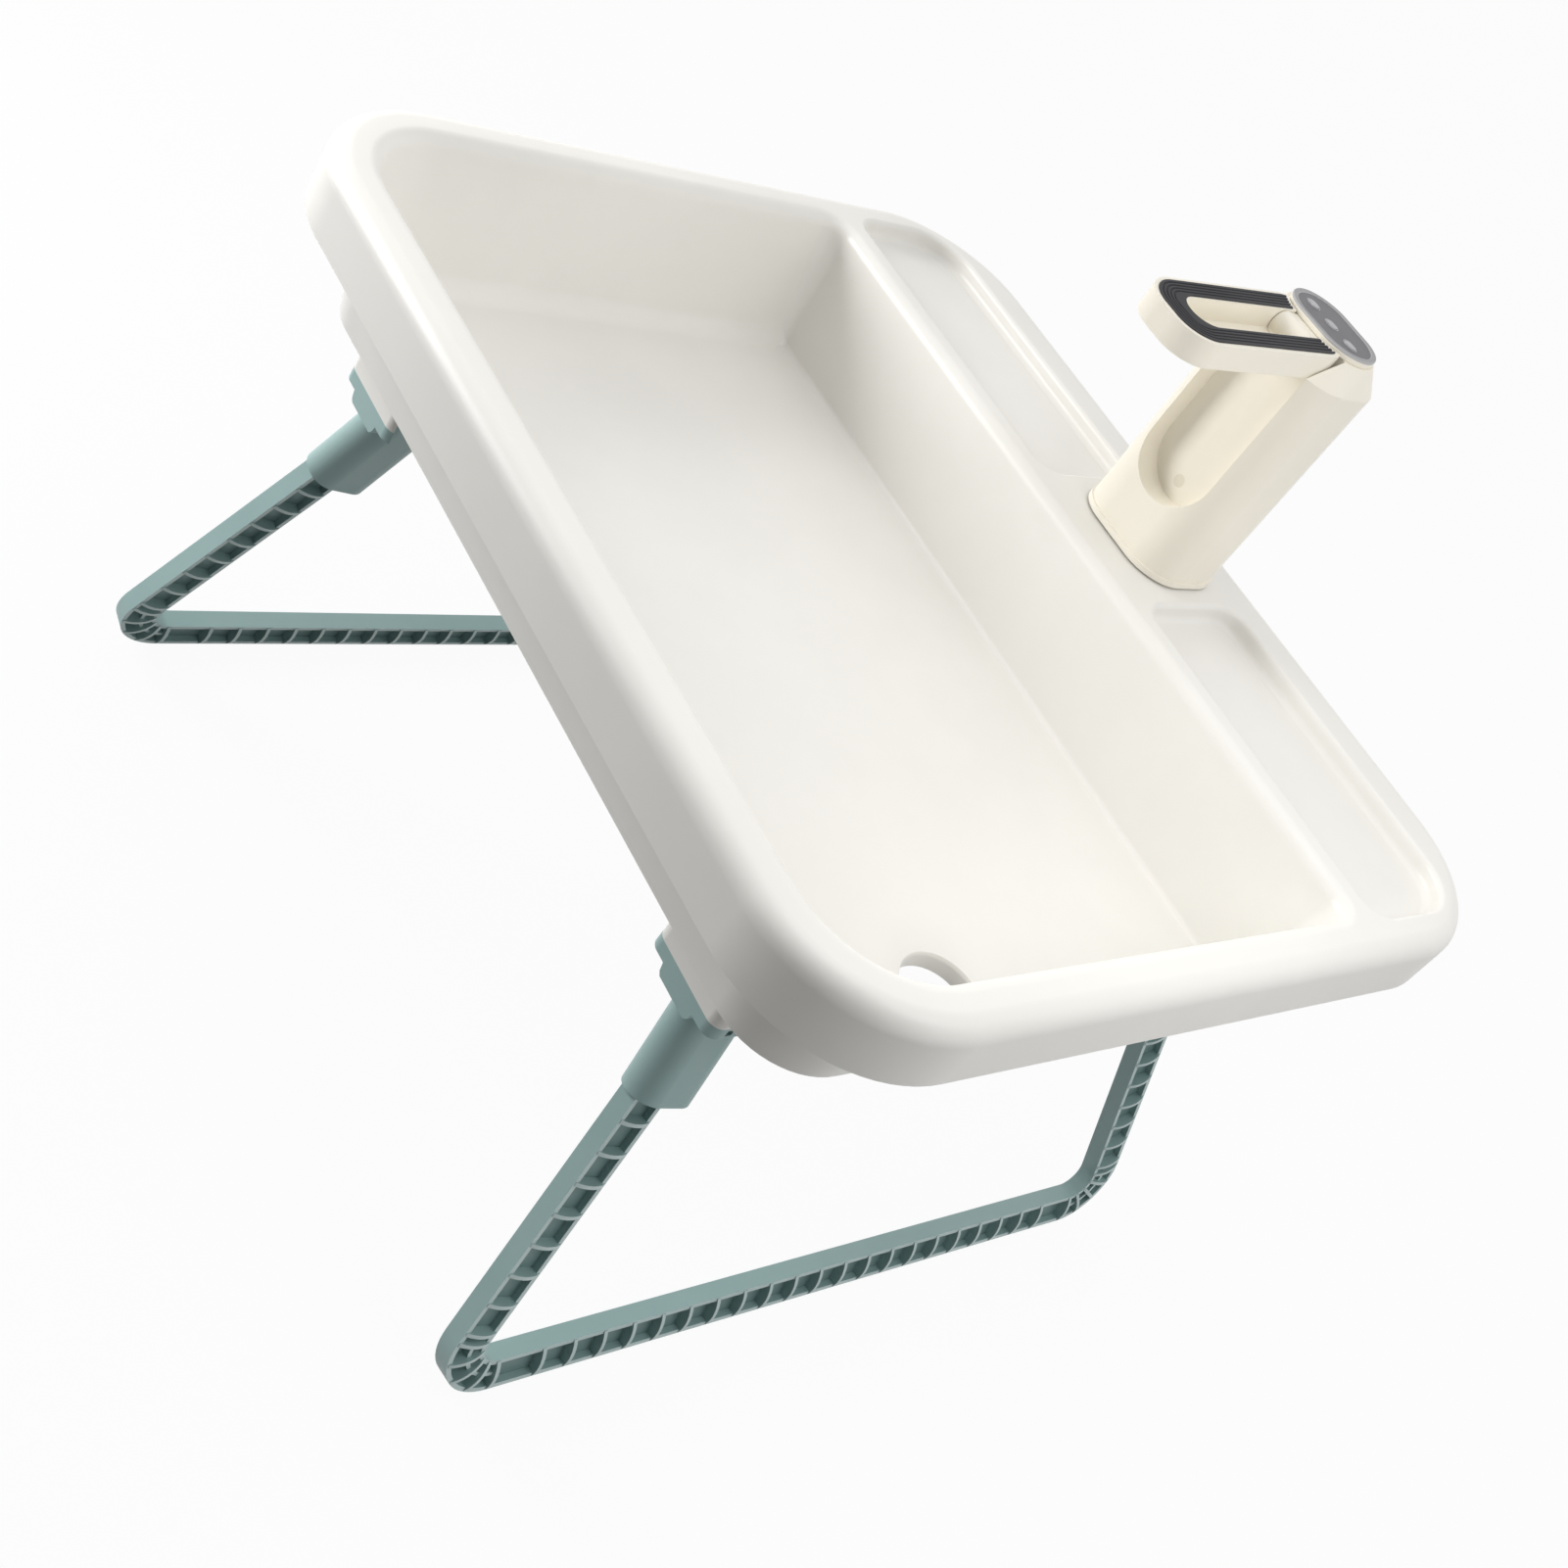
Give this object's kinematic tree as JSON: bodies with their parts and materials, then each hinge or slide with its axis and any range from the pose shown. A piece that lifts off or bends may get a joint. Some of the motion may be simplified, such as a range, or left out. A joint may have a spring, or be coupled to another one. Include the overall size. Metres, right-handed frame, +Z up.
{
  "type": "portable camping sink",
  "caption": "Shallow moulded basin with a drain and trays, on folding ribbed leg frames, with a folding electric faucet on its back deck.",
  "frame": {"origin": "on the ground under the middle of the part's box", "axes": "+X along the sink to the drain's end, +Y from the front to the faucet, +Z up"},
  "size_m": [0.48, 0.4118, 0.4232],
  "materials": {
    "basin_white": "satin moulded plastic",
    "frame_teal": "satin moulded plastic",
    "faucet_cream": "satin moulded plastic",
    "insert_charcoal": "matte",
    "seal_rubber": "matte",
    "panel_grey": "satin",
    "bezel_grey": "satin",
    "inner_grey": "satin",
    "steel": "satin",
    "cell_wrap": "satin film",
    "board_green": "solder mask"
  },
  "bodies": {
    "sink": {"basin": "basin_white", "bracket_left_front": "frame_teal", "bracket_left_back": "frame_teal", "bracket_right_front": "frame_teal", "bracket_right_back": "frame_teal", "bracket_screws": "steel", "left_hinge_pins": "steel", "right_hinge_pins": "steel", "faucet_gasket": "seal_rubber", "faucet_base": "faucet_cream", "faucet_body": "faucet_cream", "faucet_head": "faucet_cream", "hinge_block": "faucet_cream", "inlet_spigot": "insert_charcoal", "clamp_nut": "insert_charcoal", "base_screws": "steel", "pump_motor": "inner_grey", "riser_tube": "inner_grey", "battery_cell": "cell_wrap", "power_board": "board_green", "control_board": "board_green", "charge_socket": "steel", "port_cover": "seal_rubber", "pocket_magnet": "steel", "panel_bezel": "bezel_grey", "touch_panel": "panel_grey", "arm_pin": "steel"},
    "left_leg": {"left_leg_frame": "frame_teal", "left_front_socket": "frame_teal", "left_back_socket": "frame_teal"},
    "right_leg": {"right_leg_frame": "frame_teal", "right_front_socket": "frame_teal", "right_back_socket": "frame_teal"},
    "spout": {"spout_arm": "faucet_cream", "arm_insert": "insert_charcoal", "spout_nozzle": "inner_grey", "arm_magnet": "steel"},
    "left_key": {"key_left": "bezel_grey"},
    "middle_key": {"key_middle": "bezel_grey"},
    "right_key": {"key_right": "bezel_grey"}
  },
  "joints": [
    {"name": "left_leg_fold", "type": "hinge", "parent": "sink", "child": "left_leg", "pos_m": [-0.152, 0.00155, 0.1995], "axis": [0, -1, 0], "range_deg": [0, 104]},
    {"name": "right_leg_fold", "type": "hinge", "parent": "sink", "child": "right_leg", "pos_m": [0.152, 0.00155, 0.1995], "axis": [0, 1, 0], "range_deg": [0, 94]},
    {"name": "spout_fold", "type": "hinge", "parent": "sink", "child": "spout", "pos_m": [0.0035, 0.12755, 0.4144], "axis": [1, 0, 0], "range_deg": [0, 87]},
    {"name": "left_key_press", "type": "slide", "parent": "sink", "child": "left_key", "axis": [0, 0, -1], "range_m": [0, 0.0005], "stiffness_N_per_m": 600, "springref_m": -0.0005},
    {"name": "middle_key_press", "type": "slide", "parent": "sink", "child": "middle_key", "axis": [0, 0, -1], "range_m": [0, 0.0005], "stiffness_N_per_m": 600, "springref_m": -0.0005},
    {"name": "right_key_press", "type": "slide", "parent": "sink", "child": "right_key", "axis": [0, 0, -1], "range_m": [0, 0.0005], "stiffness_N_per_m": 600, "springref_m": -0.0005}
  ]
}
